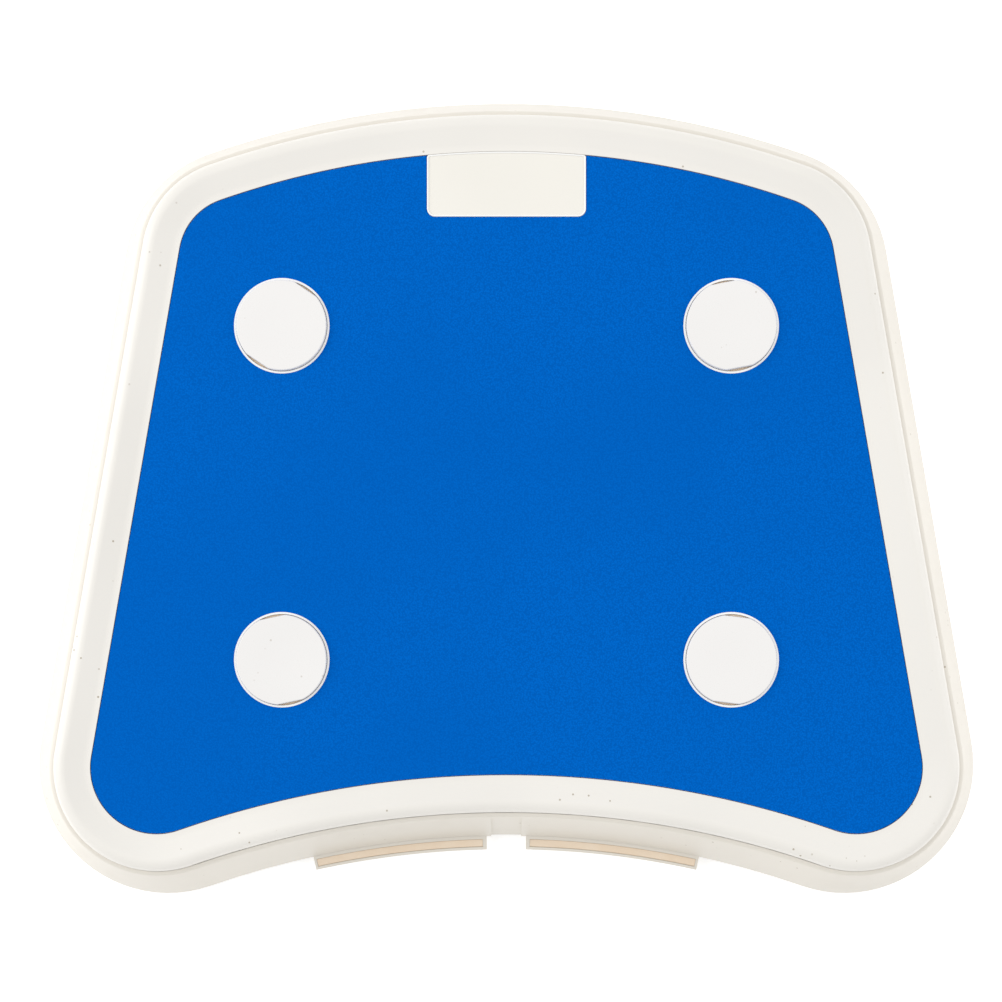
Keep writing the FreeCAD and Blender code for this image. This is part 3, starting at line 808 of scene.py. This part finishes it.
@dataclass(frozen=True)
class BoardPlan:
    """Plan of the board. Its deck edge has a bowed far arc, two leaning straight sides, a hollow near
    arc and four corner arcs, all tangent, and every other outline is that edge moved outwards."""

    half_width: float
    half_depth: float
    rim_width: float = 41.5 * MM
    far_arc_radius: float = 539.5 * MM
    near_arc_radius: float = 619.7 * MM
    side_angle: float = math.radians(9.85)
    far_corner_radius: float = 38.4 * MM
    near_corner_radius: float = 41.3 * MM
    recess_half_width: float = 9.5 * MM

    @classmethod
    def of_housing(cls) -> "BoardPlan":
        """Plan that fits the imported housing's box, to the half millimetre that its chords lose.

        Returns:
            The plan.
        """
        low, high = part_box("base_housing")
        half_mm = 0.5 * MM
        return cls(round((high.x - low.x) / 2 / half_mm) * half_mm, round(-low.y / half_mm) * half_mm)

    @property
    def near_corner(self) -> Array:
        """Centre of the near right corner arc."""
        inset = self.rim_width + self.near_corner_radius
        return np.array([self.half_width - inset, inset - self.half_depth])

    @property
    def near_centre_y(self) -> float:
        """Height in plan of the near arc's centre, from its tangency with the corner arc."""
        reach = self.near_arc_radius + self.near_corner_radius
        return self.near_corner[1] - math.sqrt(reach**2 - self.near_corner[0] ** 2)

    @property
    def far_edge(self) -> float:
        """The deck edge's furthest y."""
        return self.half_depth - self.rim_width

    @property
    def far_centre_y(self) -> float:
        """Height in plan of the far arc's centre."""
        return self.far_edge - self.far_arc_radius

    @property
    def side_normal(self) -> Array:
        """Outward direction of the right side."""
        return np.array([math.cos(self.side_angle), math.sin(self.side_angle)])

    @property
    def far_corner(self) -> Array:
        """Centre of the far right corner arc.

        It lies on a line parallel to the side, one corner radius inside it, and as far from the far
        arc's centre as the difference of the two radii.

        Returns:
            The centre in plan.
        """
        normal = self.side_normal
        along = np.array([-normal[1], normal[0]])
        base = self.near_corner + normal * (self.near_corner_radius - self.far_corner_radius)
        offset = base - np.array([0, self.far_centre_y])
        share = -offset @ along
        reach = self.far_arc_radius - self.far_corner_radius
        return base + along * (share + math.sqrt(share**2 - offset @ offset + reach**2))

    def edge(self) -> Path:
        """The deck edge, anticlockwise from the right side's far end.

        The near arc is hollow, so its spokes point inwards and it turns backwards. It has closer points
        at both sides of the recess in the housing.

        Returns:
            The closed path.
        """
        far, near = self.far_corner, self.near_corner
        far_middle, near_middle = (0, self.far_centre_y), (0, self.near_centre_y)
        far_radius, near_radius = self.far_corner_radius, self.near_corner_radius
        mirror = np.array([-1, 1])
        far_turn = math.atan2(far[1] - self.far_centre_y, far[0])
        near_turn = math.atan2(near[1] - self.near_centre_y, near[0])
        lean, half = self.side_angle, math.pi
        recess = math.asin(self.recess_half_width / (self.near_arc_radius - self.rim_width))
        beside = recess * np.linspace(*RECESS_SHARES, RECESS_POINTS)
        hollow = [
            np.linspace(2 * half - near_turn, half + near_turn, ARC_POINTS),
            NEARWARDS - beside,
            NEARWARDS + beside,
        ]
        turns = [
            (far, far_radius, np.linspace(lean, far_turn, FAR_CORNER_POINTS)),
            (far_middle, self.far_arc_radius, np.linspace(far_turn, half - far_turn, ARC_POINTS)),
            (far * mirror, far_radius, np.linspace(half - far_turn, half - lean, FAR_CORNER_POINTS)),
            (near * mirror, near_radius, np.linspace(half - lean, 2 * half - near_turn, NEAR_CORNER_POINTS)),
            (near_middle, -self.near_arc_radius, np.sort(np.concatenate(hollow))[::-1]),
            (near, near_radius, np.linspace(near_turn - half, lean, NEAR_CORNER_POINTS)),
        ]
        runs = [Path.arc(*turn) for turn in turns]
        points = np.concatenate([run.points for run in runs])
        outward = np.concatenate([run.outward for run in runs])
        fresh = np.linalg.norm(points - np.roll(points, 1, axis=0), axis=1) > SHORTEST_SIDE
        return Path(points[fresh], outward[fresh])

    def case_screws(
        self, inset: float = 30.0 * MM, rows: Sequence[float] = (0.62, 0.0, -0.62)
    ) -> list[tuple[float, float]]:
        """Places of the screws that hold the tray down: three rows along the sides, one at each middle.

        Args:
            inset: How far the screws stand inside the deck's edge.
            rows: Where the rows lie, as shares of the way from the middle to the far edge.

        Returns:
            Their places in plan.
        """
        normal = self.side_normal
        reach = float(self.near_corner @ normal) + self.near_corner_radius
        places = []
        for share in rows:
            y = share * (self.far_edge - inset / 2)
            x = (reach - y * normal[1]) / normal[0] - inset
            places += [(-x, y), (x, y)]
        near_middle = self.near_centre_y + self.near_arc_radius + inset
        return places + [(0.0, self.far_edge - inset), (0.0, near_middle)]

    def rail_screws(
        self, distances: Sequence[float] = (30.5 * MM, 104.0 * MM), offset: float = 29.5 * MM
    ) -> list[tuple[float, float]]:
        """Places of the rails' screws.

        Args:
            distances: How far they stand from the middle, in x.
            offset: How far outside the deck's edge they stand.

        Returns:
            Their places in plan.
        """
        reach = self.near_arc_radius - offset
        return [
            (side * x, self.near_centre_y + math.sqrt(reach**2 - x**2))
            for side in (-1, 1)
            for x in distances
        ]


# ---- the board's pieces


def middle_of(node: str) -> tuple[float, float]:
    """Middle, in plan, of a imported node's box."""
    low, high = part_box(node)
    return (low.x + high.x) / 2, (low.y + high.y) / 2


@dataclass(frozen=True)
class TopTray:
    """Upper moulding: the sunken floor under the deck, the rolled rim, the cups and the screw bosses."""

    plan: BoardPlan
    wall: float = 3.0 * MM
    margin: float = 3.0 * MM
    slope: float = math.radians(15)
    slope_end: float = 14.5 * MM
    crest_end: float = 20.0 * MM
    brow: float = math.radians(28)
    step: float = 23.3 * MM
    lip_bottom: float = 34.3 * MM
    lip_swell: float = 0.15 * MM
    floor_bottom: float = 40.0 * MM
    panel_bottom: float = 43.0 * MM
    margin_top: float = 46.3 * MM
    collar_top: float = 46.2 * MM
    collar_outer: float = 29.6 * MM
    collar_inner: float = 28.3 * MM
    shelf_top: float = 42.0 * MM
    cup_radius: float = 22.0 * MM
    groove_top: float = 40.8 * MM
    groove_bottom: float = 38.0 * MM
    groove_depth: float = 1.0 * MM
    cup_bottom: float = 30.0 * MM
    cup_floor: float = 33.0 * MM
    stud_hole: float = 4.3 * MM
    boss_radius: float = 4.2 * MM
    boss_points: int = 32
    bore_radius: float = 2.0 * MM
    boss_bottom: float = 24.0 * MM
    bore_top: float = 36.0 * MM
    edge: float = 0.25 * MM

    def rim_section(self) -> Array:
        """Section of the rim, from the floor's underside round the lip, up the brow, over the crest and
        down to the deck's edge.

        The crest and the brow are arcs that are tangent to each other, to the slope and to the upright
        wall; their underside lies one wall inside, about the same centres.

        Returns:
            Section points, from the floor's lower loop to its upper one.
        """
        wall, edge, low = self.wall, self.edge, self.lip_bottom
        left, right = 90 + math.degrees(self.slope), 90 - math.degrees(self.brow)
        slope_sine, slope_cosine = math.sin(self.slope), math.cos(self.slope)
        brow_sine, brow_cosine = math.sin(self.brow), math.cos(self.brow)
        crest_radius = (self.crest_end - self.slope_end) / (slope_sine + brow_sine)
        brow_radius = (self.step - self.crest_end) / (1 - brow_sine)
        climb = math.tan(self.slope)
        slope_top = self.margin_top + (self.slope_end - self.margin) * climb
        under = self.margin_top + (wall - self.margin) * climb - wall / slope_cosine
        crest = (self.slope_end + crest_radius * slope_sine, slope_top - crest_radius * slope_cosine)
        reach = crest_radius - brow_radius
        over = (crest[0] + reach * brow_sine, crest[1] + reach * brow_cosine)
        return rounded(
            (-wall, self.floor_bottom, 0),
            (wall, self.floor_bottom, edge),
            (wall, under, 0),
            *bend(crest, crest_radius - wall, left, right),
            *bend(over, brow_radius - wall, right, 0),
            (self.step - wall, low, edge),
            (self.step, low, edge),
            (self.step, low + wall, 0),
            (self.step + self.lip_swell, low + 2 * wall, wall),
            *bend(over, brow_radius, 0, right),
            *bend(crest, crest_radius, right, left),
            (self.margin, self.margin_top, 4 * self.margin),
            (0, self.margin_top, edge),
            (0, self.panel_bottom, 0),
            (-wall, self.panel_bottom, 0),
        )

    def cup_section(self) -> Array:
        """Section of a cup and its collar, from the floor's top, over the collar and into the cup, and
        out under it to the floor's underside.

        Returns:
            Section points, from the floor's upper loop to its lower one.
        """
        radius, edge = self.cup_radius, self.edge
        groove, outside = radius + self.groove_depth, radius + self.wall
        return rounded(
            (self.collar_outer, self.panel_bottom, 0),
            (self.collar_outer, self.collar_top, edge),
            (self.collar_inner, self.collar_top, edge),
            (self.collar_inner, self.shelf_top, 0),
            (radius, self.shelf_top, edge),
            (radius, self.groove_top, 0),
            (groove, self.groove_top, 0),
            (groove, self.groove_bottom, 0),
            (radius, self.groove_bottom, 0),
            (radius, self.cup_floor, 2 * edge),
            (self.stud_hole, self.cup_floor, 0),
            (self.stud_hole, self.cup_bottom, 0),
            (outside, self.cup_bottom, 2 * edge),
            (outside, self.floor_bottom, 0),
        )

    def boss_section(self) -> Array:
        """Section of a screw boss, from the top of its blind bore to the floor's underside.

        Returns:
            Section points.
        """
        return rounded(
            (self.bore_radius, self.bore_top, 0),
            (self.bore_radius, self.boss_bottom, 0),
            (self.boss_radius, self.boss_bottom, self.edge),
            (self.boss_radius, self.floor_bottom, 0),
        )

    def build(self, finishes: Finishes) -> None:
        """Makes the tray as one closed surface and dresses it.

        Args:
            finishes: The board's materials.
        """
        rim = self.rim_section()
        path = self.plan.edge()
        cups = [middle_of(f"foot_{corner}") for corner in CAP_TURNS]
        bosses = self.plan.case_screws()
        shell = Shell.swept(path, rim, Sweep.TUBE)
        low_loops = [path.moved(rim[0, 0]).points]
        high_loops = [path.moved(rim[-1, 0]).points]
        for centre in cups:
            section = self.cup_section()
            shell += turned(centre, section, Sweep.TUBE)
            high_loops.append(Path.circle(centre).moved(section[0, 0]).points)
            low_loops.append(Path.circle(centre).moved(section[-1, 0]).points)
        for centre in bosses:
            section = self.boss_section()
            shell += turned(centre, section, Sweep.WELL, self.boss_points)
            low_loops.append(Path.circle(centre, self.boss_points).moved(section[-1, 0]).points)
        shell += Shell.sheet(low_loops, self.floor_bottom, upwards=False)
        shell += Shell.sheet(high_loops, self.panel_bottom, upwards=True)
        finish_piece("tray_moulding", shell, finishes.tray, ["top_tray"])


@dataclass(frozen=True)
class TurningCap:
    """White cap with two flats over a foot fixing, its snap-in spigot and the rubber ring under it."""

    corner: str
    turn: float
    radius: float = 28.0 * MM
    flat_depth: float = 1.2 * MM
    top: float = 49.0 * MM
    under: float = 45.0 * MM
    edge: float = 0.8 * MM
    under_edge: float = 0.25 * MM
    dish: float = 0.25 * MM
    dish_span: tuple[float, float] = (-0.2, -0.9)
    dish_rings: int = 8
    half_points: int = 100
    spigot_outer: float = 21.7 * MM
    spigot_wall: float = 2.5 * MM
    spigot_bottom: float = 38.6 * MM
    bead: float = 0.7 * MM
    bead_length: float = 1.6 * MM
    slot_half: float = 1.5 * MM
    finger_points: int = 16
    trim_across: tuple[float, float] = (28.3 * MM, 29.65 * MM)
    trim_up: tuple[float, float] = (45.8 * MM, 46.4 * MM)
    seal_across: tuple[float, float] = (23.2 * MM, 28.25 * MM)
    seal_up: tuple[float, float] = (42.0 * MM, 44.7 * MM)

    def outline(self) -> Path:
        """Circle with a flat on each side, turned as this cap stands.

        Returns:
            The closed path, which keeps its shape as it shrinks towards its centre.
        """
        centre = np.array(middle_of(f"foot_{self.corner}"))
        half_flat = self.radius - self.flat_depth
        spread = math.acos(half_flat / self.radius)
        half_turn = np.linspace(-spread, math.pi - spread, self.half_points, endpoint=False)
        corner = np.argmin(np.abs(half_turn - spread))
        half_turn[corner] = spread
        angle = np.concatenate([half_turn, half_turn + math.pi])
        local = self.radius * np.stack([np.cos(angle), np.sin(angle)], axis=1)
        local[:, 0] = np.clip(local[:, 0], -half_flat, half_flat)
        cosine, sine = math.cos(self.turn), math.sin(self.turn)
        local = local @ np.array([[cosine, sine], [-sine, cosine]])
        return Path(centre + local, local / self.radius)

    def disc_section(self) -> Array:
        """Section of the disc: a small lower edge, a round upper one, and a top that dishes very
        slightly, along half a wave of a cosine between the two shares of its radius in dish_span.

        Returns:
            Section points, from the lower loop to the upper one.
        """
        first, last = self.dish_span
        middle = last * self.radius
        inwards = np.linspace(first, last, self.dish_rings)
        sag = 0.5 - 0.5 * np.cos(math.pi * (inwards - first) / (last - first))
        rings = [
            (share * self.radius, self.top - self.dish * fall, 0.0)
            for share, fall in zip(inwards.tolist(), sag.tolist())
        ]
        return rounded(
            (middle, self.under, 0), (0, self.under, self.under_edge), (0, self.top, self.edge), *rings
        )

    def finger_section(self) -> Array:
        """Section of a spigot finger, with the bead that snaps into the cup.

        Returns:
            Section points.
        """
        low, out, ease = self.spigot_bottom, self.spigot_outer, self.under_edge
        top, bead = self.under + self.edge, self.bead
        return rounded(
            (out - self.spigot_wall, top, 0),
            (out - self.spigot_wall, low, ease),
            (out, low, 0),
            (out + bead, low + bead, ease),
            (out + bead, low + self.bead_length, ease),
            (out, low + self.bead_length + bead, 0),
            (out, top, 0),
        )

    def build(self, finishes: Finishes) -> None:
        """Makes the cap and its seal.

        Args:
            finishes: The board's materials.
        """
        centre = middle_of(f"foot_{self.corner}")
        shell = Shell.swept(self.outline(), self.disc_section(), Sweep.SOLID)
        gap = self.slot_half / self.spigot_outer
        for quarter in range(4):
            start = self.turn + math.pi / 4 + quarter * math.pi / 2 + gap
            angle = np.linspace(start, start + math.pi / 2 - 2 * gap, self.finger_points)
            path = Path.arc(centre, 0.0, angle, closed=False)
            shell += Shell.swept(path, self.finger_section())
        # The trim ring on the collar is tray plastic in the whiter border colour, a painted highlight that
        # offsets the shade of the raised cap
        trim = turned(centre, bar(self.trim_across, self.trim_up, 0, self.under_edge), Sweep.RING)
        finish_piece(f"trim_{self.corner}_piece", trim, finishes.trim, ["top_tray"])
        body = Body(f"{self.corner}_cap")
        finish_piece(f"cap_{self.corner}_piece", shell, finishes.cap, [f"cap_{self.corner}"], body)
        ease = 2 * self.under_edge
        seal = turned(centre, bar(self.seal_across, self.seal_up, ease, ease), Sweep.RING)
        finish_piece(f"seal_{self.corner}_piece", seal, finishes.tan, [f"cap_seal_{self.corner}"])


@dataclass(frozen=True)
class LabelPlate:
    """Blank plate in the deck's notch, its far side on the deck's edge, with a fine raised border whose
    whiter colour is a painted highlight.
    """

    plan: BoardPlan
    width: float = 98.7 * MM
    depth: float = 40.6 * MM
    near_radius: float = 5.0 * MM
    far_radius: float = 1.6 * MM
    bottom: float = 43.0 * MM
    top: float = 46.3 * MM
    gap: float = 0.2 * MM
    border: float = 1.0 * MM
    sink: float = 0.35 * MM
    rebate: float = 0.56 * MM
    edge: float = 0.3 * MM
    bead_step: float = 24.0
    far_points: int = 30

    def outline(self) -> Path:
        """Outline of the plate: the deck edge's far arc, two sides and a straight near edge.

        Returns:
            The closed path, anticlockwise from the far right corner.
        """
        half = self.width / 2
        x = np.linspace(half, -half, self.far_points)
        y = self.plan.far_centre_y + np.sqrt((self.plan.far_arc_radius - self.gap) ** 2 - x**2)
        radii = np.zeros(len(x))
        radii[[0, -1]] = self.far_radius
        near = self.plan.far_edge - self.depth
        corners = list(zip(x.tolist(), y.tolist(), radii.tolist()))
        corners += [(-half, near, self.near_radius), (half, near, self.near_radius)]
        return Path.through(rounded(*corners))

    def build(self, finishes: Finishes) -> None:
        """Makes the plate.

        Args:
            finishes: The board's materials.
        """
        inner = -self.border - self.rebate
        section = rounded(
            (inner, self.bottom, 0),
            (0, self.bottom, 0),
            (0, self.top - self.sink, self.edge),
            (inner, self.top - self.sink, 0),
        )
        path = self.outline()
        shell = Shell.swept(path, section, Sweep.SOLID)
        finish_piece("label_piece", shell, finishes.label, ["label_plate"])
        # The raised border bead takes the whiter border colour, a painted highlight on the plate's eased edge
        middle = (-self.border / 2, self.top - self.sink / 2)
        bead = rounded(*bend(middle, self.border / 2, 0, 360, self.bead_step)[:-1])
        finish_piece("label_border", Shell.swept(path, bead), finishes.border, ["label_plate"])


@dataclass(frozen=True)
class EdgeRail:
    """Rail under half of the hollow near edge: a screwed flange, an open channel and its liner."""

    plan: BoardPlan
    side: int
    start: float = 12.5 * MM
    stop: float = 122.0 * MM
    start_wall: float = 2.4 * MM
    stop_wall: float = 1.6 * MM
    back: float = 17.5 * MM
    inner: float = 40.0 * MM
    outer: float = 50.2 * MM
    lip: float = 1.9 * MM
    low: float = 3.0 * MM
    flange: float = 6.4 * MM
    channel: float = 5.0 * MM
    top: float = 9.0 * MM
    edge: float = 0.5 * MM
    liner_top: float = 8.7 * MM
    liner_gap: float = 0.1 * MM

    @property
    def name(self) -> str:
        """Which rail this is."""
        return "right" if self.side > 0 else "left"

    @property
    def step_in(self) -> float:
        """Inner side of the channel, past the lip and its rounding."""
        return self.inner + self.lip + 3 * self.edge

    def strip(self, start: float, stop: float, count: int = 60) -> Path:
        """Part of the deck's near arc, between two distances from the middle at the rail's outer lip.

        Args:
            start: Smaller distance.
            stop: Larger distance.
            count: Number of points.

        Returns:
            The open path, which runs to the left, as the near arc does.
        """
        reach = self.plan.near_arc_radius - self.outer
        ends = np.arcsin(np.array([start, stop]) * self.side / reach)
        angle = NEARWARDS - np.linspace(ends.max(), ends.min(), count)
        return Path.arc((0, self.plan.near_centre_y), -self.plan.near_arc_radius, angle[::-1], closed=False)

    def rail_section(self) -> Array:
        """Section of the flange and the channel.

        Returns:
            Section points.
        """
        wall_top = self.outer - self.lip
        return rounded(
            (self.back, self.flange, self.edge),
            (self.inner, self.flange, self.edge),
            (self.inner, self.low, 2 * self.edge),
            (self.outer, self.low, 2 * self.edge),
            (self.outer, self.top, self.edge),
            (wall_top, self.top, self.edge),
            (wall_top, self.channel, 0),
            (self.step_in, self.channel, 0),
            (self.step_in, self.top, 0),
            (self.back, self.top, 0),
        )

    def block(self, start: float, stop: float, low: float, high: float, gap: float) -> Shell:
        """Bar that fills the channel between two distances from the middle.

        Args:
            start: Smaller distance.
            stop: Larger distance.
            low: Height of its underside.
            high: Height of its top.
            gap: Room left on each side of it; less than 0 makes it reach into the channel's sides.

        Returns:
            The shell.
        """
        across = (self.step_in + gap, self.outer - self.lip - gap)
        return Shell.swept(self.strip(start, stop), bar(across, (low, high), 0, self.edge))

    def build(self, finishes: Finishes) -> None:
        """Makes the rail and its liner.

        Args:
            finishes: The board's materials.
        """
        shell = Shell.swept(self.strip(self.start, self.stop), self.rail_section())
        bite = -self.edge
        inner_end = self.start + self.start_wall
        outer_end = self.stop - self.stop_wall
        under = self.channel + bite
        shell += self.block(self.start, inner_end, under, self.top, bite)
        shell += self.block(outer_end, self.stop, under, self.top, bite)
        # The rail takes the housing's darker cream, painted shade under the near edge
        finish_piece(f"rail_{self.name}_piece", shell, finishes.housing, [f"edge_rail_{self.name}"])
        gap = self.liner_gap
        liner = self.block(inner_end + gap, outer_end - gap, self.channel, self.liner_top, gap)
        finish_piece(f"liner_{self.name}_piece", liner, finishes.tan, [f"rail_liner_{self.name}"])


@dataclass(frozen=True)
class RubberFoot:
    """Rubber foot with a grooved sole and eased edges."""

    corner: str
    height: float = 11.0 * MM
    bottom_radius: float = 23.0 * MM
    top_radius: float = 21.0 * MM
    groove_depth: float = 1.2 * MM
    groove_width: float = 2.0 * MM
    grooves: tuple[float, ...] = (12.0 * MM, 17.0 * MM)
    edge: float = 0.4 * MM
    sole_middle: float = 3.0 * MM
    stud_radius: float = 4.2 * MM

    def build(self, finishes: Finishes) -> None:
        """Makes the foot.

        Args:
            finishes: The board's materials.
        """
        corners = [(self.sole_middle, 0.0, 0.0)]
        for radius in self.grooves:
            beyond = radius + self.groove_width
            corners += [
                (radius, 0.0, self.edge),
                (radius, self.groove_depth, self.edge),
                (beyond, self.groove_depth, self.edge),
                (beyond, 0.0, self.edge),
            ]
        corners += [
            (self.bottom_radius, 0.0, 2 * self.edge),
            (self.top_radius, self.height, 2 * self.edge),
            (self.stud_radius, self.height, 0.0),
        ]
        shell = turned(middle_of(f"foot_{self.corner}"), rounded(*corners))
        name = f"foot_{self.corner}"
        finish_piece(f"{name}_piece", shell, finishes.foot, [name])


@dataclass(frozen=True)
class PanScrews:
    """Set of pan-head screws that point up, each with a round driving socket in its head."""

    node: str
    seat: float
    end: float
    head_radius: float
    head_height: float
    shank_radius: float
    tip_share: float = 0.25
    count: int = 40
    socket_share: float = 0.45
    edge: float = 0.5 * MM

    def build(self, places: Sequence[tuple[float, float]], finishes: Finishes) -> None:
        """Makes the screws as one piece.

        Args:
            places: Where they stand, in plan.
            finishes: The board's materials.
        """
        low = self.seat - self.head_height
        socket = self.head_radius * self.socket_share
        floor = low + self.head_height * self.socket_share
        point = self.end - self.shank_radius
        section = rounded(
            (socket / 2, floor + self.edge / 2, 0),
            (socket, floor, 0),
            (socket, low, self.edge / 2),
            (self.head_radius, low, 2 * self.edge),
            (self.head_radius, self.seat, 0),
            (self.shank_radius, self.seat, 0),
            (self.shank_radius, point, self.edge),
            (self.shank_radius * self.tip_share, self.end, 0),
        )
        whole = turned(places[0], section, count=self.count)
        for place in places[1:]:
            whole += turned(place, section, count=self.count)
        finish_piece(f"{self.node}_piece", whole, finishes.steel, [self.node])


CASE_SCREWS = PanScrews("case_screws", 20.0 * MM, 34.0 * MM, 3.8 * MM, 2.4 * MM, 2.0 * MM)
RAIL_SCREWS = PanScrews("rail_screws", 6.4 * MM, 19.2 * MM, 3.4 * MM, 2.0 * MM, 1.75 * MM)


# ---- camera, lights and floor


@dataclass(frozen=True)
class Studio:
    """Camera straight above the board, a pale floor and plain soft light."""

    camera_height: float = 1106.0 * MM
    camera_x: float = -3.4 * MM
    camera_y: float = -104.0 * MM
    lens: float = 61.35
    sensor: float = 36.0
    rise: float = 0.159
    floor_half: float = 30.0
    floor_shade: Colour = (0.9, 0.9, 0.9)
    floor_roughness: float = 0.9
    floor_glow: float = 0.42
    world_light: float = 0.68
    key_place: tuple[float, float, float] = (-2.2, 0.4, 1.5)
    key_power: float = 38.0
    fill_place: tuple[float, float, float] = (2.2, 0.4, 1.5)
    fill_power: float = 21.0
    lamp_size: float = 2.0

    def set_up(self) -> None:
        """Makes the camera, the floor, the world and the lamps."""
        self.add_camera()
        self.add_floor()
        self.add_world()
        self.add_lamp("key", self.key_place, self.key_power)
        self.add_lamp("fill", self.fill_place, self.fill_power)
        bpy.context.scene.view_settings.view_transform = "Standard"

    def add_camera(self) -> None:
        """Makes the camera, which looks straight down with +Y at the top of its view."""
        lens = bpy.data.cameras.new("camera")
        lens.lens = self.lens
        lens.sensor_width = self.sensor
        lens.shift_y = self.rise
        camera = bpy.data.objects.new("camera", lens)
        camera.location = (self.camera_x, self.camera_y, self.camera_height)
        bpy.context.scene.collection.objects.link(camera)
        bpy.context.scene.camera = camera

    def add_floor(self) -> None:
        """Makes the floor, pale and faintly glowing as an evenly lit studio sweep is."""
        half = self.floor_half
        mesh = bpy.data.meshes.new("floor")
        mesh.from_pydata(
            [(-half, -half, 0), (half, -half, 0), (half, half, 0), (-half, half, 0)], [], [(0, 1, 2, 3)]
        )
        shade = Shade("floor")
        shade.set(
            Base_Color=opaque(self.floor_shade),
            Roughness=self.floor_roughness,
            Emission_Color=opaque(PLAIN_WHITE),
            Emission_Strength=self.floor_glow,
        )
        mesh.materials.append(shade.material)
        floor = bpy.data.objects.new("floor", mesh)
        bpy.context.scene.collection.objects.link(floor)

    def add_world(self) -> None:
        """Gives the world an even white light."""
        world = bpy.data.worlds.new("studio")
        bpy.context.scene.world = world
        world.use_nodes = True
        back = world.node_tree.nodes["Background"]
        back.inputs["Color"].default_value = opaque(PLAIN_WHITE)
        back.inputs["Strength"].default_value = self.world_light

    def add_lamp(self, name: str, place: Sequence[float], power: float) -> None:
        """Makes a square lamp that looks at the board's middle.

        Args:
            name: Name of the lamp.
            place: Where it stands.
            power: Its power in watts.
        """
        light = bpy.data.lights.new(name, "AREA")
        light.shape = "SQUARE"
        light.size = self.lamp_size
        light.energy = power
        lamp = bpy.data.objects.new(name, light)
        lamp.location = place
        aim = -lamp.location
        lamp.rotation_euler = aim.to_track_quat("-Z", "Y").to_euler()
        bpy.context.scene.collection.objects.link(lamp)


def main() -> None:
    """Builds the looks of the board."""
    logging.basicConfig(level=logging.INFO, format="%(message)s")
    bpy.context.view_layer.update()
    Studio().set_up()
    finishes = Finishes()
    dress_packed_nodes(finishes)
    plan = BoardPlan.of_housing()
    TopTray(plan).build(finishes)
    for corner, degrees in CAP_TURNS.items():
        TurningCap(corner, math.radians(degrees)).build(finishes)
        RubberFoot(corner).build(finishes)
    LabelPlate(plan).build(finishes)
    CASE_SCREWS.build(plan.case_screws(), finishes)
    RAIL_SCREWS.build(plan.rail_screws(), finishes)
    for side in (-1, 1):
        EdgeRail(plan, side).build(finishes)


if __name__ == "__main__":
    main()
